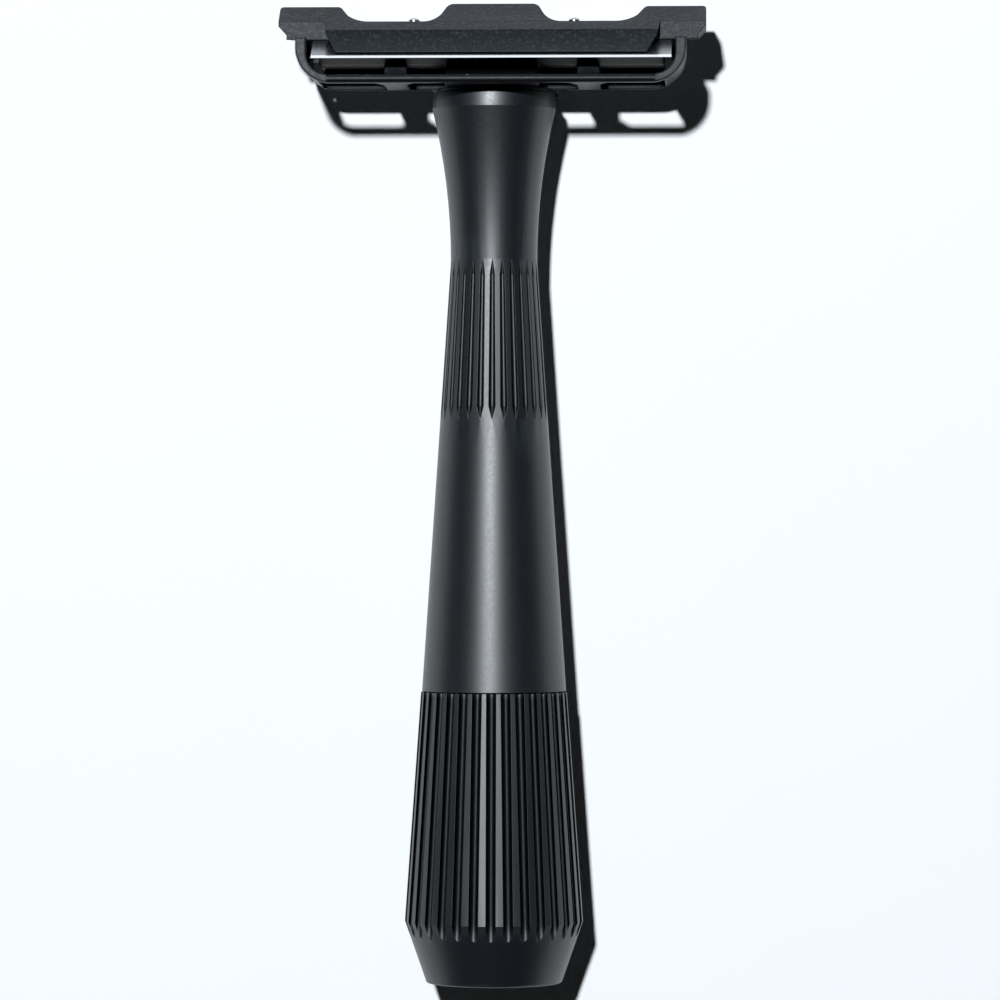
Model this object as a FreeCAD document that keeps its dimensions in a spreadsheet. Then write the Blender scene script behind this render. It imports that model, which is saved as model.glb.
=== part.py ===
import FreeCAD, Part
import math
import os
import Sketcher
from FreeCAD import Placement, Rotation, Vector

os.makedirs("parts", exist_ok=True)

# Single-edge safety razor, twist to open.
# Design frame: X across the head, -Y towards the cutting edge, Z up the handle from the knob's end.
# Every sub-part is then laid on its back: length along +Y, cutting edge side up (+Z).

SIZES = [
    # knob, the turning lower grip
    ("length_all", 104.35), ("knob_end_rad", 7.31), ("knob_end_round", 0.3),
    ("knob_wide_rad", 9.53), ("knob_wide_level", 6.63), ("knob_top_rad", 7.8), ("knob_top", 31.05),
    ("groove_wide", 1.05), ("groove_deep", 0.8), ("groove_count", 32),
    ("plug_rad", 5.5), ("plug_thick", 1.9), ("plug_seat", 2.2), ("plug_key_x", 3.2), ("plug_key_rad", 0.5),
    ("plug_key_deep", 0.8), ("nut_flats", 7.0), ("nut_low", 2.3), ("nut_top", 9.3), ("web_top", 12.5),
    ("thread_rad", 1.5), ("thread_gap", 0.06), ("web_hole_rad", 2.2),
    ("stem_rad", 4.2), ("run_gap", 0.05), ("stem_low", 14.0),
    ("ring_low", 15.6), ("ring_top", 16.4), ("ring_out_rad", 5.0), ("ring_seat_rad", 3.7),
    ("ring_room_rad", 5.2), ("ring_room_gap", 0.4), ("seal_level", 26.0), ("seal_centre_rad", 3.83),
    ("seal_wire_rad", 0.38), ("seal_seat_rad", 3.4), ("seal_seat_high", 1.1),
    ("washer_room_rad", 5.6), ("washer_room_low", 29.85), ("washer_low", 29.9), ("washer_top", 30.4),
    ("washer_in_rad", 4.3), ("washer_out_rad", 5.5), ("spring_in_rad", 4.4), ("spring_out_rad", 5.45),
    ("spring_low", 30.5), ("spring_rise", 0.3), ("spring_thick", 0.25),
    # handle, the fixed upper grip
    ("handle_low", 31.15), ("handle_low_rad", 7.7), ("cone_top", 76.3), ("cone_top_rad", 4.655),
    ("waist_level", 77.1), ("waist_rad", 4.62), ("flare_top", 93.25), ("flare_top_rad", 6.58),
    ("shoulder_top", 94.9), ("shoulder_top_rad", 6.45), ("shoulder_round", 9.0), ("spigot_rad", 5.6),
    ("bar_room_rad", 2.6), ("guide_seat_rad", 3.4), ("guide_low", 85.0), ("guide_top", 95.3),
    ("flute_low", 59.9), ("flute_full_low", 61.5), ("flute_full_top", 75.5), ("flute_top", 77.3),
    ("flute_half_low", 0.42), ("flute_half_top", 0.30), ("flute_count", 28),
    ("flute_lift", 0.04),
    ("collar_rad", 6.1), ("collar_in_rad", 5.65),
    # drawbar and its link to the cap
    ("bar_rad", 2.0), ("bar_low", 2.9), ("bar_shoulder", 11.0), ("head_low", 95.45), ("head_top", 98.4),
    ("head_half", 2.4), ("head_front", -1.1), ("head_back", 3.5), ("head_gap_half", 1.1),
    ("head_gap_low", 95.95), ("lift", 4.5), ("lead", 1.5),
    ("link_y", 0.5), ("link_rad", 0.5), ("link_half", 2.35), ("link_slack", 0.2),
    ("hinge_y", 7.6), ("hinge_level", 97.0), ("hinge_rad", 0.75), ("barrel_rad", 1.9), ("open_angle", 39.3),
    # base plate
    ("base_low", 95.4), ("base_half", 20.55), ("wall_thick", 1.1), ("wall_top", 100.15),
    ("base_front", -9.9), ("base_back", 1.5), ("corner_out", 3.7), ("corner_in", 2.2), ("floor_thick", 0.9),
    ("guard_deep", 1.1), ("guard_round", 0.4), ("bed_lip_y", -6.0), ("bed_lip_level", 97.55),
    ("bed_back", 1.95), ("bed_gap", 0.03), ("bed_start", 1.2), ("boss_half", 4.8),
    ("slot_in_low", 4.9), ("slot_in_high", 9.0), ("slot_out_low", 11.4), ("slot_out_high", 18.3),
    ("slot_flare", 0.8), ("slot_back", 1.0), ("block_half", 6.8), ("block_back", 5.4), ("block_top", 99.2),
    ("knuckle_half", 4.1), ("side_gap", 0.1), ("bar_hole_half", 2.7), ("bar_hole_front", -1.4),
    ("bar_hole_back", 3.8), ("rod_room", 0.2), ("screw_x", 3.4), ("screw_y", -3.3), ("screw_rad", 0.8), ("screw_head_rad", 1.45),
    ("screw_head_low", 97.4), ("screw_head_high", 1.3), ("screw_low", 90.6), ("screw_flats", 1.3),
    ("post_x", 8.57), ("post_y", 0.3), ("post_rad", 0.6), ("post_low", 97.6), ("post_top", 103.0),
    ("magnet_x", 13.4), ("magnet_y", -1.2), ("magnet_rad", 1.5), ("magnet_low", 99.0),
    ("magnet_top", 100.55), ("fit_gap", 0.02),
    # blade: half of a standard double-edge blade
    ("edge_y", -9.2), ("edge_level", 98.0), ("edge_half", 19.0), ("blade_slope", 30.0),
    ("blade_front", 4.4), ("blade_bend", 3.36), ("blade_deep", 11.0), ("blade_thick", 0.1),
    ("hone_deep", 0.5), ("tab_half", 21.5), ("tab_start", -5.25), ("notch_half", 3.2), ("notch_deep", 2.6),
    ("post_notch_half", 0.75), ("post_notch_y", -0.45), ("blade_slot_half", 15.6), ("blade_slot_y", 0.35),
    # cap
    ("cap_gap", 0.05), ("cap_lip_y", -8.55), ("cap_lip_level", 98.7), ("cap_brow_y", -7.3),
    ("cap_brow_level", 101.15), ("cap_slope", 31.0), ("cap_half", 22.65), ("valley_top", 102.2),
    ("cap_top", 104.35), ("ear_top", 104.0), ("ear_front", -5.6), ("wing_back", 1.8),
    ("lip_half", 16.4), ("brow_half", 17.5), ("shelf_half", 17.8), ("cap_block_low", 99.5),
    ("cap_block_front", 2.2), ("tongue_half", 1.0), ("tongue_rad", 0.85), ("cap_post_front", -1.65),
    ("cap_post_back", 1.05), ("cap_post_half", 0.75), ("head_room_half", 2.9), ("head_room_back", 4.6),
    ("head_room_top", 100.7),
]


class Dim:
    """A size with the sheet expression that gives it."""

    def __init__(self, value, text):
        self.value = float(value)
        self.text = text

    def mix(self, other, mark, value):
        return Dim(value, "(%s %s %s)" % (self.text, mark, other.text))

    def __add__(self, other):
        other = dim(other)
        return self.mix(other, "+", self.value + other.value)

    def __sub__(self, other):
        other = dim(other)
        return self.mix(other, "-", self.value - other.value)

    def __mul__(self, other):
        other = dim(other)
        return self.mix(other, "*", self.value * other.value)

    def __truediv__(self, other):
        other = dim(other)
        return self.mix(other, "/", self.value / other.value)

    def __neg__(self):
        return Dim(-self.value, "(-1 * %s)" % self.text)


def dim(item):
    if isinstance(item, Dim):
        return item
    return Dim(item, "%.6f" % item)


def dsin(angle):
    return Dim(math.sin(math.radians(angle.value)), "sin(%s)" % angle.text)


def dcos(angle):
    return Dim(math.cos(math.radians(angle.value)), "cos(%s)" % angle.text)


def dsqrt(item):
    return Dim(math.sqrt(item.value), "sqrt(%s)" % item.text)


doc = FreeCAD.newDocument("safety_razor")
sheet = doc.addObject("Spreadsheet::Sheet", "Sizes")


class Names:
    """Sheet sizes by name."""


k = Names()
for row, (name, value) in enumerate(SIZES, start=1):
    sheet.set("A%d" % row, name)
    sheet.set("B%d" % row, str(value))
    sheet.setAlias("B%d" % row, name)
    setattr(k, name, Dim(value, "Sizes." + name))
doc.recompute()

# lying down, the part rests on the two edges of the groove at the knob's back
rest_level = dsqrt(k.knob_wide_rad * k.knob_wide_rad - k.groove_wide * k.groove_wide / 4)
finished = []


def lay_down(item, x=0, y=0, z=0):
    """Place an item built at the design origin, moved to design point x, y, z."""
    spots = (("x", dim(x)), ("y", dim(z) - k.length_all / 2), ("z", rest_level - dim(y)))
    base = Vector(*[spot.value for _, spot in spots])
    item.Placement = Placement(base, Rotation(Vector(1, 0, 0), -90))
    for letter, spot in spots:
        item.setExpression("Placement.Base." + letter, spot.text)
    finished.append(item)


def origin_part(body, role):
    for item in body.Origin.OriginFeatures:
        if item.Role == role:
            return item


def new_body(label):
    body = doc.addObject("PartDesign::Body", label)
    body.Label = label
    return body


def sketch_on(body, name, role, lift=None):
    sketch = body.newObject("Sketcher::SketchObject", name)
    sketch.AttachmentSupport = [(origin_part(body, role), "")]
    sketch.MapMode = "FlatFace"
    if lift is not None:
        sketch.AttachmentOffset = Placement(Vector(0, 0, lift.value), Rotation())
        sketch.setExpression("AttachmentOffset.Base.z", lift.text)
    return sketch


def hold(sketch, kind, references, size):
    """Add a sketch dimension driven by the sheet."""
    size = dim(size)
    index = sketch.addConstraint(Sketcher.Constraint(kind, *references, size.value))
    if "Sizes" in size.text:
        sketch.setExpression("Constraints[%d]" % index, size.text)


def add_loop(sketch, corners):
    """Closed loop. A corner (u, v, radius, turn) starts an arc; turn 1 keeps its centre on the left."""
    first = sketch.GeometryCount
    corners = [tuple(dim(part) for part in corner) for corner in corners]
    spots = [Vector(corner[0].value, corner[1].value, 0) for corner in corners]
    ends = []
    for index, corner in enumerate(corners):
        here = spots[index]
        there = spots[(index + 1) % len(spots)]
        if len(corner) == 2:
            sketch.addGeometry(Part.LineSegment(here, there), False)
            ends.append((1, 2))
            continue
        radius = corner[2].value
        turn = corner[3].value
        half = (there - here) * 0.5
        across = Vector(-half.y, half.x, 0).normalize()
        reach = math.sqrt(max(radius ** 2 - half.Length ** 2, 0.0))
        centre = here + half + across * (reach * turn)
        start = math.atan2(here.y - centre.y, here.x - centre.x)
        stop = math.atan2(there.y - centre.y, there.x - centre.x)
        if turn < 0:
            start, stop = stop, start
        if stop <= start:
            stop += 2 * math.pi
        circle = Part.Circle(centre, Vector(0, 0, 1), radius)
        sketch.addGeometry(Part.ArcOfCircle(circle, start, stop), False)
        ends.append((1, 2) if turn > 0 else (2, 1))
    for index, corner in enumerate(corners):
        here = first + index
        after = first + (index + 1) % len(corners)
        link = (here, ends[index][1], after, ends[after - first][0])
        sketch.addConstraint(Sketcher.Constraint("Coincident", *link))
        hold(sketch, "DistanceX", (-1, 1, here, ends[index][0]), corner[0])
        hold(sketch, "DistanceY", (-1, 1, here, ends[index][0]), corner[1])
        if len(corner) > 2:
            hold(sketch, "Radius", (here,), corner[2])


def add_circle(sketch, u, v, radius):
    u, v, radius = dim(u), dim(v), dim(radius)
    circle = Part.Circle(Vector(u.value, v.value, 0), Vector(0, 0, 1), radius.value)
    index = sketch.addGeometry(circle, False)
    hold(sketch, "DistanceX", (-1, 1, index, 3), u)
    hold(sketch, "DistanceY", (-1, 1, index, 3), v)
    hold(sketch, "Radius", (index,), radius)


def settle(body, item):
    """Recompute and make sure the feature really changed its body."""
    before = item.BaseFeature.Shape.Volume if item.BaseFeature else 0.0
    doc.recompute()
    body.Tip = item
    doc.recompute()
    if "Invalid" in item.State or "Error" in item.State or item.Shape.isNull():
        raise RuntimeError("feature failed: " + item.Name)
    if abs(item.Shape.Volume - before) < 1e-4:
        raise RuntimeError("feature changes nothing: " + item.Name)
    return item


def extrude(body, kind, sketch, length=None, both=True, back=False):
    """Pad or Pocket: length None cuts through all, both spreads it evenly to each side."""
    item = body.newObject("PartDesign::" + kind, sketch.Name + kind)
    item.Profile = sketch
    if both:
        item.SideType = "Symmetric"
    item.Reversed = back
    if length is None:
        item.Type = "ThroughAll"
    else:
        length = dim(length)
        item.Length = length.value
        item.setExpression("Length", length.text)
    return settle(body, item)


def turn(body, kind, sketch, axis="V_Axis"):
    item = body.newObject("PartDesign::" + kind, sketch.Name + kind)
    item.Profile = sketch
    item.ReferenceAxis = (sketch, [axis])
    item.Angle = 360
    return settle(body, item)


def repeat_round(body, feature, count):
    item = body.newObject("PartDesign::PolarPattern", feature.Name + "Ring")
    item.Originals = [feature]
    item.Axis = (origin_part(body, "Z_Axis"), [""])
    item.Angle = 360
    item.Occurrences = int(count.value)
    item.setExpression("Occurrences", count.text)
    return settle(body, item)


def turned_body(label, *loops):
    """A body turned about the handle's axis from loops of (radius, level)."""
    body = new_body(label)
    sketch = sketch_on(body, label + "_section", "XZ_Plane")
    for loop in loops:
        add_loop(sketch, loop)
    turn(body, "Revolution", sketch)
    return body


def box_loop(low_u, high_u, low_v, high_v):
    return [(low_u, low_v), (high_u, low_v), (high_u, high_v), (low_u, high_v)]


def mirrored(loop):
    """The same loop on the other side of the vertical sketch axis."""
    flipped = []
    count = len(loop)
    for index in range(count):
        corner = loop[(count - index) % count]
        before = loop[count - index - 1]
        flipped.append((-dim(corner[0]), dim(corner[1])) + tuple(before[2:]))
    return flipped


# ---------------------------------------------------------------- knob
bore = k.stem_rad + k.run_gap
room_low = k.ring_low - k.ring_room_gap
room_top = k.ring_top + k.ring_room_gap
knob = turned_body("knob", [
    (k.plug_rad + k.fit_gap, 0),
    (k.knob_end_rad - k.knob_end_round, 0, k.knob_end_round, 1),
    (k.knob_end_rad, k.knob_end_round),
    (k.knob_wide_rad, k.knob_wide_level),
    (k.knob_top_rad, k.knob_top),
    (k.washer_room_rad, k.knob_top),
    (k.washer_room_rad, k.washer_room_low),
    (bore, k.washer_room_low),
    (bore, room_top),
    (k.ring_room_rad, room_top),
    (k.ring_room_rad, room_low),
    (bore, room_low),
    (bore, k.web_top),
    (k.web_hole_rad, k.web_top),
    (k.web_hole_rad, k.plug_seat),
    (k.plug_rad + k.fit_gap, k.plug_seat),
])


def hexagon(flats):
    """Corners of a hexagon with two flats square to the first sketch axis."""
    half = flats / 2
    corner = flats / math.sqrt(3)
    return [
        (half, corner / 2), (0, corner), (-half, corner / 2),
        (-half, -(corner / 2)), (0, -corner), (half, -(corner / 2)),
    ]


nut_pocket = sketch_on(knob, "nut_pocket", "XY_Plane", k.plug_seat)
add_loop(nut_pocket, hexagon(k.nut_flats + k.fit_gap * 2))
extrude(knob, "Pocket", nut_pocket, k.nut_top - k.plug_seat, both=False, back=True)

# round-bottomed grooves run down the cone from above its top face
lean = (k.knob_wide_rad - k.knob_top_rad) / (k.knob_top - k.knob_wide_level)
lean_angle = Dim(math.degrees(math.atan(lean.value)), "atan(%s)" % lean.text)
knob_groove = sketch_on(knob, "knob_groove", "XY_Plane")
groove_spot = (-(k.knob_top_rad - lean * 0.5), k.knob_top + 0.5)
knob_groove.AttachmentOffset = Placement(
    Vector(0, groove_spot[0].value, groove_spot[1].value), Rotation(Vector(-1, 0, 0), lean_angle.value))
knob_groove.setExpression("AttachmentOffset.Base.y", groove_spot[0].text)
knob_groove.setExpression("AttachmentOffset.Base.z", groove_spot[1].text)
knob_groove.setExpression("AttachmentOffset.Rotation.Angle", lean_angle.text)
groove_side = k.groove_deep - k.groove_wide / 2
add_loop(knob_groove, [
    (-(k.groove_wide / 2), -1), (k.groove_wide / 2, -1),
    (k.groove_wide / 2, groove_side, k.groove_wide * 0.51, 1), (-(k.groove_wide / 2), groove_side),
])
groove = extrude(knob, "Pocket", knob_groove, k.knob_top - k.knob_wide_level + 3.2, both=False)
repeat_round(knob, groove, k.groove_count)
lay_down(knob)

plug = turned_body("knob_end_plug", box_loop(0, k.plug_rad, 0, k.plug_thick))
plug_keys = sketch_on(plug, "plug_keys", "XY_Plane")
add_circle(plug_keys, k.plug_key_x, 0, k.plug_key_rad)
add_circle(plug_keys, -k.plug_key_x, 0, k.plug_key_rad)
extrude(plug, "Pocket", plug_keys, k.plug_key_deep, both=False, back=True)
lay_down(plug)

nut = new_body("knob_nut")
nut_outline = sketch_on(nut, "nut_outline", "XY_Plane", k.nut_low)
add_loop(nut_outline, hexagon(k.nut_flats))
add_circle(nut_outline, 0, 0, k.thread_rad + k.thread_gap)
extrude(nut, "Pad", nut_outline, k.nut_top - k.nut_low - k.fit_gap, both=False)
lay_down(nut)

lay_down(turned_body("thrust_washer", box_loop(
    k.washer_in_rad, k.washer_out_rad, k.washer_low, k.washer_top)))

# ---------------------------------------------------------------- handle and what it carries
flare_bow = ((k.flare_top - k.waist_level) * (k.flare_top - k.waist_level)
             + (k.flare_top_rad - k.waist_rad) * (k.flare_top_rad - k.waist_rad)) / (
                 (k.flare_top_rad - k.waist_rad) * 2)
seal_low = k.seal_level - k.seal_seat_high / 2
seal_top = k.seal_level + k.seal_seat_high / 2
handle = turned_body("handle", [
    (k.bar_room_rad, k.stem_low),
    (k.stem_rad, k.stem_low),
    (k.stem_rad, k.ring_low - k.fit_gap),
    (k.ring_seat_rad, k.ring_low - k.fit_gap),
    (k.ring_seat_rad, k.ring_top + k.fit_gap),
    (k.stem_rad, k.ring_top + k.fit_gap),
    (k.stem_rad, seal_low),
    (k.seal_seat_rad, seal_low),
    (k.seal_seat_rad, seal_top),
    (k.stem_rad, seal_top),
    (k.stem_rad, k.handle_low),
    (k.handle_low_rad, k.handle_low),
    (k.cone_top_rad, k.cone_top),
    (k.waist_rad, k.waist_level, flare_bow, -1),
    (k.flare_top_rad, k.flare_top, k.shoulder_round, 1),
    (k.shoulder_top_rad, k.shoulder_top),
    (k.spigot_rad, k.shoulder_top),
    (k.spigot_rad, k.base_low),
    (k.guide_seat_rad, k.base_low),
    (k.guide_seat_rad, k.guide_low),
    (k.bar_room_rad, k.guide_low),
])

cone_lean = (k.handle_low_rad - k.cone_top_rad) / (k.cone_top - k.handle_low)


def on_cone(level, out=0):
    return (-(k.handle_low_rad - cone_lean * (level - k.handle_low) + out), level)


flute = sketch_on(handle, "handle_flute", "YZ_Plane")
add_loop(flute, [
    on_cone(k.flute_low, k.flute_lift),
    on_cone(k.flute_full_low, k.flute_half_low),
    on_cone(k.flute_full_top, k.flute_half_top),
    on_cone(k.flute_top, k.flute_lift),
])
spine = flute.addGeometry(Part.LineSegment(Vector(-6, 60, 0), Vector(-5, 77, 0)), True)
flute.addConstraint(Sketcher.Constraint("Coincident", spine, 1, 3, 2))
flute.addConstraint(Sketcher.Constraint("Coincident", spine, 2, 3, 1))
flute_cut = turn(handle, "Groove", flute, "Axis0")
repeat_round(handle, flute_cut, k.flute_count)
screw_bores = sketch_on(handle, "screw_bores", "XY_Plane", k.base_low)
add_circle(screw_bores, k.screw_x, k.screw_y, k.screw_rad + k.fit_gap)
add_circle(screw_bores, -k.screw_x, k.screw_y, k.screw_rad + k.fit_gap)
extrude(handle, "Pocket", screw_bores, k.base_low - k.screw_low + 0.3, both=False)
lay_down(handle)

lay_down(turned_body("knob_retaining_ring", box_loop(
    k.ring_seat_rad + k.fit_gap, k.ring_out_rad, k.ring_low, k.ring_top)))

seal = new_body("stem_o_ring")
seal_wire = sketch_on(seal, "seal_wire", "XZ_Plane")
add_circle(seal_wire, k.seal_centre_rad, k.seal_level, k.seal_wire_rad)
turn(seal, "Revolution", seal_wire)
lay_down(seal)

lay_down(turned_body("friction_spring", [
    (k.spring_in_rad, k.spring_low + k.spring_rise),
    (k.spring_out_rad, k.spring_low),
    (k.spring_out_rad, k.spring_low + k.spring_thick),
    (k.spring_in_rad, k.spring_low + k.spring_rise + k.spring_thick),
]))

lay_down(turned_body("drawbar_guide", box_loop(
    k.bar_rad + k.run_gap, k.guide_seat_rad - k.fit_gap, k.guide_low, k.guide_top)))

lay_down(turned_body("neck_ring", box_loop(
    k.collar_in_rad, k.collar_rad, k.shoulder_top, k.base_low)))

# ---------------------------------------------------------------- drawbar
bar = turned_body("drawbar", [
    (0, k.bar_low), (k.thread_rad, k.bar_low), (k.thread_rad, k.bar_shoulder),
    (k.bar_rad, k.bar_shoulder), (k.bar_rad, k.head_low + 0.3), (0, k.head_low + 0.3),
])
bar_head = sketch_on(bar, "bar_head", "YZ_Plane")
add_loop(bar_head, box_loop(k.head_front, k.head_back, k.head_low, k.head_top))
extrude(bar, "Pad", bar_head, k.head_half * 2)
bar_fork = sketch_on(bar, "bar_fork", "YZ_Plane")
add_loop(bar_fork, box_loop(-4, 5, k.head_gap_low, k.head_top + 1))
extrude(bar, "Pocket", bar_fork, k.head_gap_half * 2)
link_reach = k.hinge_y - k.link_y
link_travel = link_reach - link_reach * dcos(k.open_angle)
slot_half = k.link_rad + k.link_slack
end_bow = slot_half * 1.02
link_slot = sketch_on(bar, "link_slot", "YZ_Plane")
add_loop(link_slot, [
    (k.link_y, k.hinge_level - slot_half),
    (k.link_y + link_travel, k.hinge_level - slot_half, end_bow, 1),
    (k.link_y + link_travel, k.hinge_level + slot_half),
    (k.link_y, k.hinge_level + slot_half, end_bow, 1),
])
extrude(bar, "Pocket", link_slot)
lay_down(bar)

# ---------------------------------------------------------------- base plate
rise = dsin(k.blade_slope)
run = dcos(k.blade_slope)


def on_slope(along, out):
    """Point on the blade's sloping front, along it from the edge and out from its underside."""
    return (k.edge_y + run * along - rise * out, k.edge_level + rise * along + run * out)


def bend_end(out):
    """Where the blade's bend meets its flat rear, out from the underside."""
    return (k.edge_y + run * k.blade_front + rise * k.blade_bend,
            k.edge_level + rise * k.blade_front + k.blade_bend - run * k.blade_bend + out)


base = new_body("base_plate")
tray = sketch_on(base, "tray_outline", "XZ_Plane", -k.base_back)
half = k.base_half
inner = k.base_half - k.wall_thick
floor_top = k.base_low + k.floor_thick
add_loop(tray, [
    (-half, k.wall_top),
    (-half, k.base_low + k.corner_out, k.corner_out, 1),
    (-(half - k.corner_out), k.base_low),
    (half - k.corner_out, k.base_low, k.corner_out, 1),
    (half, k.base_low + k.corner_out),
    (half, k.wall_top),
    (inner, k.wall_top),
    (inner, floor_top + k.corner_in, k.corner_in, -1),
    (inner - k.corner_in, floor_top),
    (-(inner - k.corner_in), floor_top, k.corner_in, -1),
    (-inner, floor_top + k.corner_in),
    (-inner, k.wall_top),
])
extrude(base, "Pad", tray, k.base_back - k.base_front, both=False)

bed = sketch_on(base, "bed_section", "YZ_Plane")
bed_under = -k.bed_gap
flat_level = bend_end(bed_under)[1]
add_loop(bed, [
    (k.bed_lip_y, k.base_low + 0.2),
    (k.bed_back, k.base_low + 0.2),
    (k.bed_back, flat_level),
    bend_end(bed_under) + (k.blade_bend - k.bed_gap, 1),
    on_slope(k.blade_front, bed_under),
    on_slope(k.bed_start, bed_under),
    (k.bed_lip_y, k.bed_lip_level),
])
extrude(base, "Pad", bed, inner * 2 - 2.4)
bed_wing = sketch_on(base, "bed_wing", "YZ_Plane")
add_loop(bed_wing, [
    (k.bed_lip_y, k.bed_lip_level + 0.9),
    (k.bed_back, k.bed_lip_level + 0.9),
    (k.bed_back, flat_level),
    bend_end(bed_under) + (k.blade_bend - k.bed_gap, 1),
    on_slope(k.blade_front, bed_under),
    on_slope(k.bed_start + 2.2, bed_under),
])
extrude(base, "Pad", bed_wing, inner * 2 + 0.4)

block = sketch_on(base, "hinge_block", "YZ_Plane")
add_loop(block, [
    (0.5, k.base_low),
    (k.hinge_y - 0.9, k.base_low),
    (k.hinge_y, k.hinge_level - k.barrel_rad, k.barrel_rad, 1),
    (k.hinge_y + k.barrel_rad, k.hinge_level, k.barrel_rad, 1),
    (k.hinge_y, k.hinge_level + k.barrel_rad),
    (k.block_back, k.block_top),
    (0.5, k.block_top),
])
extrude(base, "Pad", block, k.block_half * 2)
knuckle_room = sketch_on(base, "knuckle_room", "YZ_Plane")
add_loop(knuckle_room, box_loop(k.block_back, k.hinge_y + 3, k.base_low - 1, k.block_top + 1))
extrude(base, "Pocket", knuckle_room, (k.knuckle_half + k.side_gap) * 2)

centre_boss = sketch_on(base, "centre_boss", "YZ_Plane")
guard_back = k.base_front + k.guard_deep
add_loop(centre_boss, [
    (guard_back, k.base_low), (k.bed_lip_y + 0.5, k.base_low),
    (k.bed_lip_y + 0.5, k.bed_lip_level), (k.bed_lip_y - 0.6, k.bed_lip_level),
    (guard_back, floor_top),
])
extrude(base, "Pad", centre_boss, k.boss_half * 2)

# the slots run back under the bed, so water and hair pass straight through
rinse = sketch_on(base, "rinse_slots", "XY_Plane", k.bed_lip_level)
inner_slot = [
    (k.slot_in_low, guard_back), (k.slot_in_high - k.slot_flare, guard_back),
    (k.slot_in_high, k.bed_lip_y), (k.slot_in_high, k.slot_back), (k.slot_in_low, k.slot_back),
]
outer_slot = [
    (k.slot_out_low + k.slot_flare, guard_back), (k.slot_out_high, guard_back),
    (k.slot_out_high, k.slot_back), (k.slot_out_low, k.slot_back), (k.slot_out_low, k.bed_lip_y),
]
for loop in (inner_slot, outer_slot):
    add_loop(rinse, loop)
    add_loop(rinse, mirrored(loop))
extrude(base, "Pocket", rinse, 4, both=False)

bar_hole = sketch_on(base, "bar_hole", "XY_Plane")
add_loop(bar_hole, box_loop(-k.bar_hole_half, k.bar_hole_half, k.bar_hole_front, k.bar_hole_back))
extrude(base, "Pocket", bar_hole)
rod_hole = sketch_on(base, "rod_hole", "XY_Plane")
add_circle(rod_hole, 0, 0, k.bar_rad + k.rod_room)
extrude(base, "Pocket", rod_hole)


def drill_pair(body, name, x, y, radius, low):
    """Two blind holes, one each side, from above down to a level."""
    sketch = sketch_on(body, name, "XY_Plane", low)
    add_circle(sketch, x, y, radius)
    add_circle(sketch, -x, y, radius)
    extrude(body, "Pocket", sketch, 8, both=False, back=True)


drill_pair(base, "screw_seats", k.screw_x, k.screw_y, k.screw_head_rad + 0.1, k.screw_head_low)
drill_pair(base, "screw_holes", k.screw_x, k.screw_y, k.screw_rad + k.fit_gap, k.base_low - 1)
drill_pair(base, "post_holes", k.post_x, k.post_y, k.post_rad + k.fit_gap, k.post_low)
drill_pair(base, "magnet_seats", k.magnet_x, k.magnet_y, k.magnet_rad + k.fit_gap, k.magnet_low)
pin_bore = sketch_on(base, "pin_bore", "YZ_Plane")
add_circle(pin_bore, k.hinge_y, k.hinge_level, k.hinge_rad + k.fit_gap)
extrude(base, "Pocket", pin_bore)


# the guard bar's front is rounded above and below
guard_nose = sketch_on(base, "guard_nose", "YZ_Plane")
for level, sign in ((floor_top, 1), (k.base_low, -1)):
    nose = [
        (k.base_front - 0.2, level + 0.2 * sign), (k.base_front - 0.2, level - k.guard_round * sign),
        (k.base_front, level - k.guard_round * sign, k.guard_round, -sign),
        (k.base_front + k.guard_round, level), (k.base_front + k.guard_round, level + 0.2 * sign),
    ]
    add_loop(guard_nose, nose)
extrude(base, "Pocket", guard_nose, (inner - k.corner_in) * 2)
lay_down(base)

# ---------------------------------------------------------------- small parts in the head
for side, sign in (("left", -1), ("right", 1)):
    post = turned_body("blade_post_" + side, [
        (0, 0), (k.post_rad, 0), (k.post_rad, k.post_top - k.post_low - 0.2),
        (k.post_rad - 0.2, k.post_top - k.post_low), (0, k.post_top - k.post_low),
    ])
    lay_down(post, k.post_x * sign, k.post_y, k.post_low)
    magnet = turned_body("magnet_" + side, box_loop(
        0, k.magnet_rad, 0, k.magnet_top - k.magnet_low))
    lay_down(magnet, k.magnet_x * sign, k.magnet_y, k.magnet_low)

shank = doc.addObject("Part::Cylinder", "screw_shank")
shank.setExpression("Radius", k.screw_rad.text)
shank.setExpression("Height", (k.screw_head_low - k.screw_low).text)
shank.setExpression("Placement.Base.z", k.screw_low.text)
head = doc.addObject("Part::Cylinder", "screw_head")
head.setExpression("Radius", k.screw_head_rad.text)
head.setExpression("Height", k.screw_head_high.text)
head.setExpression("Placement.Base.z", k.screw_head_low.text)
socket = doc.addObject("Part::Prism", "screw_socket")
socket.Polygon = 6
socket.setExpression("Circumradius", (k.screw_flats / math.sqrt(3)).text)
socket.setExpression("Height", k.screw_head_high.text)
socket.setExpression("Placement.Base.z", (k.screw_head_low + k.screw_head_high / 2).text)
whole = doc.addObject("Part::Fuse", "screw_whole")
whole.Base = shank
whole.Tool = head
screw = doc.addObject("Part::Cut", "screw_cut")
screw.Base = whole
screw.Tool = socket
screw.setExpression("Placement.Base.x", k.screw_x.text)
screw.setExpression("Placement.Base.y", k.screw_y.text)
other_screw = doc.addObject("Part::Mirroring", "screw_mirror")
other_screw.Source = screw
other_screw.Normal = Vector(1, 0, 0)
screws = doc.addObject("Part::Compound", "neck_screws")
screws.Label = "neck_screws"
screws.Links = [screw, other_screw]
lay_down(screws)


def cross_pin(label, y, level, radius, half_length):
    body = new_body(label)
    sketch = sketch_on(body, label + "_section", "YZ_Plane")
    add_circle(sketch, y, level, radius)
    extrude(body, "Pad", sketch, half_length * 2)
    lay_down(body)


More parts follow.
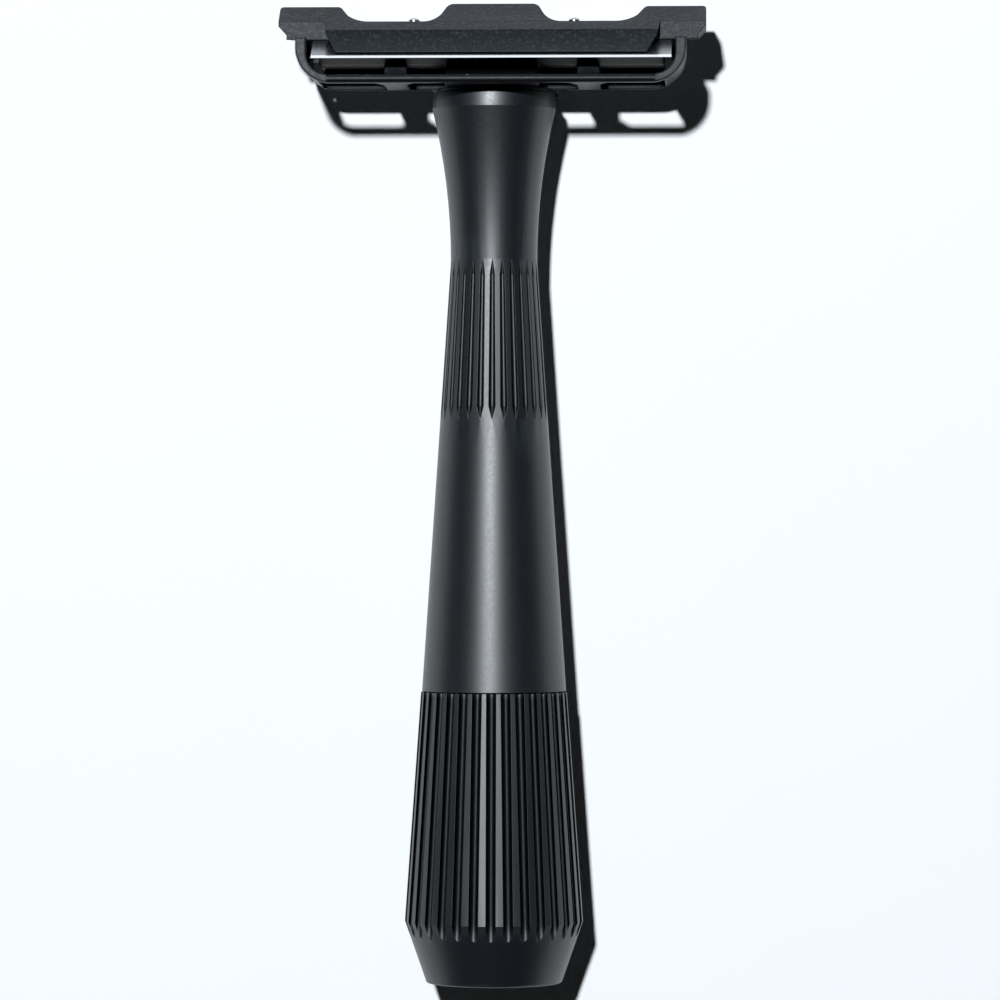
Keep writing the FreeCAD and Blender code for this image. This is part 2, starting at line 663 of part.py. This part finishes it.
cross_pin("hinge_pin", k.hinge_y, k.hinge_level, k.hinge_rad, k.block_half)
cross_pin("link_pin", k.link_y, k.hinge_level, k.link_rad, k.link_half)

# ---------------------------------------------------------------- blade
blade = new_body("blade")
strip = sketch_on(blade, "blade_section", "YZ_Plane")
flat_run = k.blade_deep - k.blade_front - k.blade_bend * (k.blade_slope * (math.pi / 180))
blade_back = bend_end(0)[0] + flat_run
add_loop(strip, [
    on_slope(0, k.blade_thick * 0.4),
    on_slope(k.hone_deep, 0),
    on_slope(k.blade_front, 0) + (k.blade_bend, -1),
    bend_end(0),
    (blade_back, bend_end(0)[1]),
    (blade_back, bend_end(0)[1] + k.blade_thick),
    bend_end(k.blade_thick) + (k.blade_bend + k.blade_thick, 1),
    on_slope(k.blade_front, k.blade_thick),
    on_slope(k.hone_deep, k.blade_thick),
    on_slope(0, k.blade_thick * 0.6),
])
extrude(blade, "Pad", strip, k.tab_half * 2)
trim = sketch_on(blade, "blade_trim", "XY_Plane")
corner = [
    (k.edge_half, k.edge_y - 1), (k.tab_half + 1, k.edge_y - 1),
    (k.tab_half + 1, k.tab_start + 0.3), (k.tab_half - 0.3, k.tab_start),
    (k.edge_half, k.tab_start),
]
add_loop(trim, corner)
add_loop(trim, mirrored(corner))
notch_y = blade_back - k.notch_deep
post_half = k.post_notch_half
add_loop(trim, [
    (-k.blade_slot_half, blade_back + 1), (-k.blade_slot_half, k.blade_slot_y),
    (-(k.post_x + post_half), k.blade_slot_y), (-(k.post_x + post_half), k.post_notch_y + 0.3),
    (-(k.post_x + post_half - 0.3), k.post_notch_y), (-(k.post_x - post_half + 0.3), k.post_notch_y),
    (-(k.post_x - post_half), k.post_notch_y + 0.3), (-(k.post_x - post_half), k.blade_slot_y),
    (-k.notch_half, k.blade_slot_y), (-k.notch_half, notch_y + 0.3), (-(k.notch_half - 0.3), notch_y),
    (k.notch_half - 0.3, notch_y), (k.notch_half, notch_y + 0.3), (k.notch_half, k.blade_slot_y),
    (k.post_x - post_half, k.blade_slot_y), (k.post_x - post_half, k.post_notch_y + 0.3),
    (k.post_x - post_half + 0.3, k.post_notch_y), (k.post_x + post_half - 0.3, k.post_notch_y),
    (k.post_x + post_half, k.post_notch_y + 0.3), (k.post_x + post_half, k.blade_slot_y),
    (k.blade_slot_half, k.blade_slot_y), (k.blade_slot_half, blade_back + 1),
])
extrude(blade, "Pocket", trim)
lay_down(blade)

# ---------------------------------------------------------------- cap
cap = new_body("cap")
over = k.blade_thick + k.cap_gap
under_flat = bend_end(over)[1]
lip_along = (k.cap_lip_level - k.edge_level - run * over) / rise
facet_back = k.cap_brow_y + (k.cap_top - k.cap_brow_level) * dcos(k.cap_slope) / dsin(k.cap_slope)
cap_side = sketch_on(cap, "cap_side", "YZ_Plane")
add_loop(cap_side, [
    (k.cap_lip_y, k.cap_lip_level),
    (on_slope(lip_along, over)[0], k.cap_lip_level),
    on_slope(k.blade_front, over) + (k.blade_bend + over, -1),
    bend_end(over),
    (k.wing_back, under_flat),
    (k.wing_back, k.cap_top),
    (facet_back, k.cap_top),
    (k.cap_brow_y, k.cap_brow_level),
])
extrude(cap, "Pad", cap_side, k.cap_half * 2)

# the rear face leans so that it stands upright, level with the barrel, when the cap is fully open
lean_sin = dsin(k.open_angle)
lean_cos = dcos(k.open_angle)


def rear_face(level):
    return (k.hinge_y + (k.barrel_rad - (level - k.hinge_level) * lean_sin) / lean_cos, level)


cap_block = sketch_on(cap, "cap_block", "YZ_Plane")
add_loop(cap_block, [
    (k.wing_back - 0.5, k.cap_top), (k.wing_back - 0.5, under_flat + 0.2),
    (k.cap_block_front, under_flat + 0.2), (k.cap_block_front, k.cap_block_low),
    rear_face(k.cap_block_low), rear_face(k.cap_top),
])
extrude(cap, "Pad", cap_block, k.block_half * 2)
knuckle = sketch_on(cap, "cap_knuckle", "YZ_Plane")
tangent = (k.hinge_y + k.barrel_rad * lean_cos, k.hinge_level + k.barrel_rad * lean_sin)
add_loop(knuckle, [
    (k.hinge_y - k.barrel_rad, k.hinge_level, k.barrel_rad, 1),
    (k.hinge_y, k.hinge_level - k.barrel_rad, k.barrel_rad, 1),
    tangent,
    rear_face(k.cap_block_low + 0.5),
    (k.hinge_y - k.barrel_rad, k.cap_block_low + 0.5),
])
extrude(cap, "Pad", knuckle, k.knuckle_half * 2)

head_room = sketch_on(cap, "head_room", "YZ_Plane")
add_loop(head_room, box_loop(k.cap_block_front - 0.6, k.head_room_back, k.cap_block_low - 1, k.head_room_top))
extrude(cap, "Pocket", head_room, k.head_room_half * 2)
tongue = sketch_on(cap, "cap_tongue", "YZ_Plane")
add_loop(tongue, [
    (k.link_y - k.tongue_rad, under_flat + 0.3),
    (k.link_y - k.tongue_rad, k.hinge_level, k.tongue_rad * 1.02, 1),
    (k.link_y + k.tongue_rad, k.hinge_level),
    (k.link_y + k.tongue_rad, under_flat + 0.3),
])
extrude(cap, "Pad", tongue, k.tongue_half * 2)

crown = sketch_on(cap, "cap_crown", "XZ_Plane")
right_edge = [
    (4.25, k.cap_top, 0.95, -1), (4.98, k.cap_top - 0.45), (5.38, k.valley_top + 1.0, 2.3, 1),
    (7.3, k.valley_top), (13.1, k.valley_top, 3.9, 1), (15.35, k.valley_top + 0.72),
    (15.95, k.ear_top - 0.35, 0.75, -1), (16.5, k.ear_top),
    (k.cap_half - 0.35, k.ear_top, 0.35, -1), (k.cap_half, k.ear_top - 0.35),
    (k.cap_half + 1, k.ear_top - 0.35),
]
left_edge = []
for index in range(len(right_edge) - 1, -1, -1):
    spot = right_edge[index]
    bend = tuple(right_edge[index - 1][2:]) if index > 0 else ()
    left_edge.append((-dim(spot[0]), spot[1]) + bend)
sky = k.cap_top + 2
add_loop(crown, left_edge + right_edge + [(k.cap_half + 1, sky), (-(k.cap_half + 1), sky)])
extrude(cap, "Pocket", crown)

cheeks = sketch_on(cap, "cap_cheeks", "XZ_Plane", -k.ear_front)
cheek = [
    (k.lip_half, k.cap_lip_level - 1), (k.cap_half + 1, k.cap_lip_level - 1),
    (k.cap_half + 1, k.cap_top + 1), (k.shelf_half, k.cap_top + 1), (k.shelf_half, k.valley_top),
    (k.brow_half, k.cap_brow_level - 0.45), (k.lip_half, k.cap_lip_level),
]
add_loop(cheeks, cheek)
add_loop(cheeks, mirrored(cheek))
extrude(cap, "Pocket", cheeks, 5, both=False, back=True)
tips = sketch_on(cap, "cap_tips", "XZ_Plane")
tip = [
    (k.cap_half + 0.01, k.valley_top - 0.5), (k.cap_half - 0.85, k.valley_top - 1.45),
    (k.cap_half - 0.85, k.valley_top - 3), (k.cap_half + 1, k.valley_top - 3),
    (k.cap_half + 1, k.valley_top - 0.5),
]
add_loop(tips, tip)
add_loop(tips, mirrored(tip))
extrude(cap, "Pocket", tips)

post_bow = k.cap_post_half * 1.02
post_slots = sketch_on(cap, "post_slots", "XY_Plane")
slot = [
    (k.post_x - k.cap_post_half, k.cap_post_back - k.cap_post_half),
    (k.post_x - k.cap_post_half, k.cap_post_front + k.cap_post_half, post_bow, 1),
    (k.post_x + k.cap_post_half, k.cap_post_front + k.cap_post_half),
    (k.post_x + k.cap_post_half, k.cap_post_back - k.cap_post_half, post_bow, 1),
]
add_loop(post_slots, slot)
add_loop(post_slots, mirrored(slot))
extrude(cap, "Pocket", post_slots)
knuckle_bore = sketch_on(cap, "knuckle_bore", "YZ_Plane")
add_circle(knuckle_bore, k.hinge_y, k.hinge_level, k.hinge_rad + k.run_gap)
extrude(cap, "Pocket", knuckle_bore)
link_bore = sketch_on(cap, "link_bore", "YZ_Plane")
add_circle(link_bore, k.link_y, k.hinge_level, k.link_rad + k.fit_gap)
extrude(cap, "Pocket", link_bore)
lay_down(cap)

# ---------------------------------------------------------------- check and write
doc.recompute()
for item in doc.Objects:
    if "Invalid" in item.State or "Error" in item.State:
        raise RuntimeError("object failed: " + item.Label)
for item in finished:
    shape = item.Shape
    if shape.isNull() or not shape.isValid() or not shape.Solids:
        raise RuntimeError("bad shape: " + item.Label)
    shape.exportStep("parts/%s.step" % item.Label)
    box = shape.BoundBox
    print("%-20s solids %d volume %9.3f  X %.3f %.3f  Y %.3f %.3f  Z %.3f %.3f" % (
        item.Label, len(shape.Solids), shape.Volume,
        box.XMin, box.XMax, box.YMin, box.YMax, box.ZMin, box.ZMax))
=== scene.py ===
import math
import bpy
from mathutils import Matrix, Vector


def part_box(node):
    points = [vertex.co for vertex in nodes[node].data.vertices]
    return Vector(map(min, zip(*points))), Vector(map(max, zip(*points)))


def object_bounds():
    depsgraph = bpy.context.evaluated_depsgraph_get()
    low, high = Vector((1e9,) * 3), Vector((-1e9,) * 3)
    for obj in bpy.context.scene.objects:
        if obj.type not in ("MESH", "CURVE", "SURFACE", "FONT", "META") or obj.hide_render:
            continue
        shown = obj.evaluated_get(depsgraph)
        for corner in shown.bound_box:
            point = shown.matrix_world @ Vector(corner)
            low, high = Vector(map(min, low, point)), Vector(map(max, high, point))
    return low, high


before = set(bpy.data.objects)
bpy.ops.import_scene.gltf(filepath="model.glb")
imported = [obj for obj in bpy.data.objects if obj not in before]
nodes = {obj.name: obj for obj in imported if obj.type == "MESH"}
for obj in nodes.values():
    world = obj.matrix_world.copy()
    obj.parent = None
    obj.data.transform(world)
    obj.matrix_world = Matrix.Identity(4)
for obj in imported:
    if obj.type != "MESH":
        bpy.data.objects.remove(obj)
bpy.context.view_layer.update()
MM = 0.001
GRAIN_DEPTH = 0.00002


# ---------------------------------------------------------------- materials
class Paint:
    """One procedural material and the short steps that build its nodes."""

    def __init__(self, name):
        self.material = bpy.data.materials.new(name)
        self.material.use_nodes = True
        self.tree = self.material.node_tree
        self.tree.nodes.clear()
        self.shader = self.add("ShaderNodeBsdfPrincipled")
        self.output = self.add("ShaderNodeOutputMaterial")
        self.join(self.shader.outputs["BSDF"], self.output.inputs["Surface"])
        self.where = self.add("ShaderNodeTexCoord").outputs["Object"]

    def add(self, kind, **settings):
        node = self.tree.nodes.new(kind)
        for key, value in settings.items():
            setattr(node, key, value)
        return node

    def join(self, source, target):
        self.tree.links.new(source, target)

    def stretch(self, x, y, z):
        mapping = self.add("ShaderNodeMapping")
        mapping.inputs["Scale"].default_value = (x, y, z)
        self.join(self.where, mapping.inputs["Vector"])
        return mapping.outputs["Vector"]

    def noise(self, scale, detail=3.0, rough=0.55, vector=None):
        node = self.add("ShaderNodeTexNoise")
        node.inputs["Scale"].default_value = scale
        node.inputs["Detail"].default_value = detail
        node.inputs["Roughness"].default_value = rough
        self.join(vector or self.where, node.inputs["Vector"])
        return node.outputs["Fac"]

    def ramp(self, value, low, high, from_low=0.3, from_high=0.7):
        node = self.add("ShaderNodeMapRange")
        node.inputs["From Min"].default_value = from_low
        node.inputs["From Max"].default_value = from_high
        node.inputs["To Min"].default_value = low
        node.inputs["To Max"].default_value = high
        self.join(value, node.inputs["Value"])
        return node.outputs["Result"]

    def blend(self, value, low, high):
        node = self.add("ShaderNodeMix", data_type="RGBA")
        for socket, color in ((node.inputs[6], low), (node.inputs[7], high)):
            if isinstance(color, tuple):
                socket.default_value = color + (1.0,)
            else:
                self.join(color, socket)
        self.join(value, node.inputs[0])
        return node.outputs[2]

    def axis(self, letter):
        node = self.add("ShaderNodeSeparateXYZ")
        self.join(self.where, node.inputs["Vector"])
        return node.outputs[letter]

    def relief(self, height, depth, strength, edge=0.0):
        """Bump from a height, on top of edges softened over a small radius."""
        bump = self.add("ShaderNodeBump")
        bump.inputs["Strength"].default_value = strength
        bump.inputs["Distance"].default_value = depth
        self.join(height, bump.inputs["Height"])
        if edge:
            bevel = self.add("ShaderNodeBevel", samples=6)
            bevel.inputs["Radius"].default_value = edge
            self.join(bevel.outputs["Normal"], bump.inputs["Normal"])
        self.join(bump.outputs["Normal"], self.shader.inputs["Normal"])

    def worn_edges(self, color, worn, amount):
        """Lighten the colour a little where edges stand out."""
        curve = self.add("ShaderNodeNewGeometry").outputs["Pointiness"]
        mask = self.ramp(curve, 0.0, amount, 0.54, 0.66)
        return self.blend(mask, color, worn)

    def finish(self, color, rough, metal=0.0, **fixed):
        self.join(color, self.shader.inputs["Base Color"])
        self.join(rough, self.shader.inputs["Roughness"])
        self.shader.inputs["Metallic"].default_value = metal
        for key, value in fixed.items():
            self.shader.inputs[key].default_value = value
        return self.material


def coated(name, tones, worn, rough_range, grain, strength, gloss, edge, painted_shade_reach):
    """Dark sprayed coating: fine grain, slow tone changes and rubbed edges, with painted shade that turns
    narrow hollows near-black.
    """
    paint = Paint(name)
    tone = paint.blend(paint.noise(140.0, 4.0), *tones)
    color = paint.worn_edges(tone, worn, 0.35)
    rough = paint.ramp(paint.noise(grain * 0.35, 4.0), *rough_range)
    paint.relief(paint.noise(grain, 3.0, 0.6), GRAIN_DEPTH, strength, edge)
    # Painted shade: where ambient occlusion finds narrow hollows, the colour is painted near-black and the
    # surface made fully metallic, so the hollows lose their highlight too.
    open_sky = paint.add("ShaderNodeAmbientOcclusion", samples=8, only_local=True)
    open_sky.inputs["Distance"].default_value = painted_shade_reach
    painted_shade_mask = paint.ramp(open_sky.outputs["AO"], 1.0, 0.0, 0.62, 0.9)
    paint.join(painted_shade_mask, paint.shader.inputs["Metallic"])
    color = paint.blend(painted_shade_mask, color, (0.0006, 0.0008, 0.0010))
    return paint.finish(color, rough, 0.0, **{"Specular IOR Level": gloss})


def turned_steel(name, low, high, rough_low, rough_high, run):
    """Machined steel with fine tool lines along one direction."""
    paint = Paint(name)
    lines = paint.noise(1.0, 4.0, 0.6, paint.stretch(*run))
    color = paint.blend(lines, low, high)
    rough = paint.ramp(lines, rough_low, rough_high)
    paint.relief(lines, 0.00001, 0.3, 0.00005)
    return paint.finish(color, rough, 1.0)


grip_coat = coated("grip_coat", ((0.0015, 0.0032, 0.0050), (0.0035, 0.0062, 0.0092)),
                   worn=(0.04, 0.055, 0.065), rough_range=(0.385, 0.44), grain=9000.0,
                   strength=0.26, gloss=0.80, edge=0.06 * MM, painted_shade_reach=1.2 * MM)
base_coat = coated("head_coat", ((0.002, 0.003, 0.004), (0.004, 0.005, 0.007)),
                   worn=(0.04, 0.045, 0.05), rough_range=(0.34, 0.44), grain=7000.0,
                   strength=0.3, gloss=0.16, edge=0.35 * MM, painted_shade_reach=2.0 * MM)


def cap_material():
    """Blasted black cap: coarse lighter speckle and bumps, the same over the whole cap."""
    paint = Paint("cap_coat")
    slow = paint.blend(paint.noise(300.0, 4.0), (0.003, 0.005, 0.006), (0.007, 0.009, 0.012))
    coarse = paint.noise(2600.0, 2.0, 0.75)
    tone = paint.blend(paint.ramp(coarse, 0.0, 1.0, 0.52, 0.72), slow, (0.030, 0.042, 0.048))
    color = paint.worn_edges(tone, (0.06, 0.07, 0.08), 0.4)
    rough = paint.ramp(paint.noise(2500.0, 4.0), 0.44, 0.56)
    paint.relief(coarse, 0.00010, 0.7, 0.2 * MM)
    extra = {"Specular IOR Level": 0.22, "Coat Weight": 0.04, "Coat Roughness": 0.35}
    return paint.finish(color, rough, 0.0, **extra)


def blade_material(edge_level):
    """Ground strip steel, blued grey, with a honed band at the cutting edge, painted near-white as a
    painted highlight.
    """
    paint = Paint("blade_steel")
    lines = paint.noise(1.0, 4.0, 0.6, paint.stretch(9000.0, 600.0, 600.0))
    body = paint.blend(lines, (0.30, 0.31, 0.33), (0.52, 0.53, 0.55))
    # Honed band along the cutting edge: partly its real polished finish, partly a painted highlight, since
    # its near-white colour is brighter than steel.
    honed_edge_highlight = paint.ramp(paint.axis("Z"), 0.0, 1.0, edge_level - 0.52 * MM, edge_level - 0.44 * MM)
    color = paint.blend(honed_edge_highlight, body, (0.93, 0.95, 0.97))
    rough = paint.ramp(honed_edge_highlight, 0.26, 0.16, 0.0, 1.0)
    paint.relief(lines, 0.000006, 0.25, 0.0)
    return paint.finish(color, rough, 1.0)


def plain_coat(name, low, high, rough_low, rough_high, grain, metal=0.0):
    paint = Paint(name)
    spots = paint.noise(grain, 4.0)
    paint.relief(spots, 0.00001, 0.2, 0.00004)
    return paint.finish(paint.blend(spots, low, high), paint.ramp(spots, rough_low, rough_high), metal)


edge_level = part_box("blade")[1][2]
fine_in_y = (900, 9000, 900)
machined = turned_steel("machined_steel", (0.42, 0.42, 0.43), (0.60, 0.60, 0.61), 0.24, 0.38, fine_in_y)
bright = turned_steel("bright_steel", (0.45, 0.46, 0.48), (0.66, 0.67, 0.69), 0.16, 0.28, fine_in_y)
spring = turned_steel("spring_steel", (0.30, 0.30, 0.31), (0.46, 0.46, 0.47), 0.28, 0.40, (4000, 900, 4000))
brass = plain_coat("nut_brass", (0.62, 0.44, 0.18), (0.80, 0.62, 0.32), 0.2, 0.34, 2500.0, 1.0)
bearing = plain_coat("bearing_plastic", (0.66, 0.65, 0.60), (0.78, 0.77, 0.73), 0.4, 0.55, 3000.0)
rubber = plain_coat("seal_rubber", (0.012, 0.012, 0.012), (0.03, 0.03, 0.03), 0.6, 0.8, 4000.0)
nickel = plain_coat("magnet_plate", (0.55, 0.55, 0.54), (0.70, 0.70, 0.69), 0.14, 0.24, 2500.0, 1.0)

FINISHES = {
    "knob": grip_coat, "knob_end_plug": grip_coat, "handle": grip_coat, "neck_ring": base_coat,
    "base_plate": base_coat, "cap": cap_material(), "blade": blade_material(edge_level),
    "blade_post_left": bright, "blade_post_right": bright, "hinge_pin": machined, "link_pin": machined,
    "neck_screws": machined, "drawbar": machined, "knob_retaining_ring": spring,
    "friction_spring": spring, "knob_nut": brass, "thrust_washer": bearing, "drawbar_guide": bearing,
    "stem_o_ring": rubber, "magnet_left": nickel, "magnet_right": nickel,
}
for name, node in nodes.items():
    node.data.materials.clear()
    node.data.materials.append(FINISHES[name])


# ---------------------------------------------------------------- floor, light, camera
def aimed(eye, target, up=Vector((0, 1, 0))):
    """World matrix of a camera or lamp at eye, looking at target."""
    back = (eye - target).normalized()
    right = up.cross(back).normalized()
    over = back.cross(right)
    turn = Matrix((right, over, back)).transposed().to_4x4()
    return Matrix.Translation(eye) @ turn


low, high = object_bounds()
middle = Vector((0.0, (low[1] + high[1]) / 2, (low[2] + high[2]) / 2))

floor_mesh = bpy.data.meshes.new("floor")
reach = 1.2
corners = [(-reach, -reach, 0), (reach, -reach, 0), (reach, reach, 0), (-reach, reach, 0)]
floor_mesh.from_pydata(corners, [], [(0, 1, 2, 3)])
floor = bpy.data.objects.new("floor", floor_mesh)
floor.location.z = low[2]
bpy.context.scene.collection.objects.link(floor)
pale = Paint("pale_floor")
speck = pale.noise(60.0, 3.0)
floor_mesh.materials.append(pale.finish(
    pale.blend(speck, (0.93, 0.93, 0.935), (0.95, 0.95, 0.955)), pale.ramp(speck, 0.75, 0.85)))


def lamp(name, direction, distance, size_x, size_y, power):
    light = bpy.data.lights.new(name, "AREA")
    light.shape = "RECTANGLE"
    light.size = size_x
    light.size_y = size_y
    light.energy = power
    light.color = (0.90, 0.95, 1.0)
    holder = bpy.data.objects.new(name, light)
    holder.matrix_world = aimed(middle + Vector(direction).normalized() * distance, middle)
    bpy.context.scene.collection.objects.link(holder)


lamp("key", (-0.11, 0.27, 1.0), 1.1, 0.04, 0.04, 14.0)
lamp("left_side", (-1.0, 0.1, 0.35), 0.7, 0.4, 0.9, 0.06)
lamp("right_side", (1.0, 0.1, 0.35), 0.7, 0.4, 0.9, 0.05)
lamp("head_end", (0.0, 1.0, 0.5), 0.6, 0.9, 0.4, 0.06)

world = bpy.data.worlds.new("studio")
world.use_nodes = True
world.node_tree.nodes["Background"].inputs["Color"].default_value = (0.93, 0.95, 1.0, 1.0)
world.node_tree.nodes["Background"].inputs["Strength"].default_value = 0.002
bpy.context.scene.world = world

LEAN = math.radians(2.2)
DISTANCE = 0.6
SENSOR = 36.0
VIEW_WIDTH = 0.10508
WIDTH_LEVEL = 0.0095  # how far above the aim point the view is VIEW_WIDTH wide
camera_data = bpy.data.cameras.new("camera")
camera_data.sensor_width = SENSOR
camera_data.lens = SENSOR * (DISTANCE - WIDTH_LEVEL) / VIEW_WIDTH
camera_data.clip_start = 0.05
camera = bpy.data.objects.new("camera", camera_data)
aim = middle + Vector((0.00064, -0.00066, 0.0))
camera.matrix_world = aimed(aim + Vector((math.sin(LEAN), 0, math.cos(LEAN))) * DISTANCE, aim)
bpy.context.scene.collection.objects.link(camera)
bpy.context.scene.camera = camera
bpy.context.scene.view_settings.view_transform = "Standard"
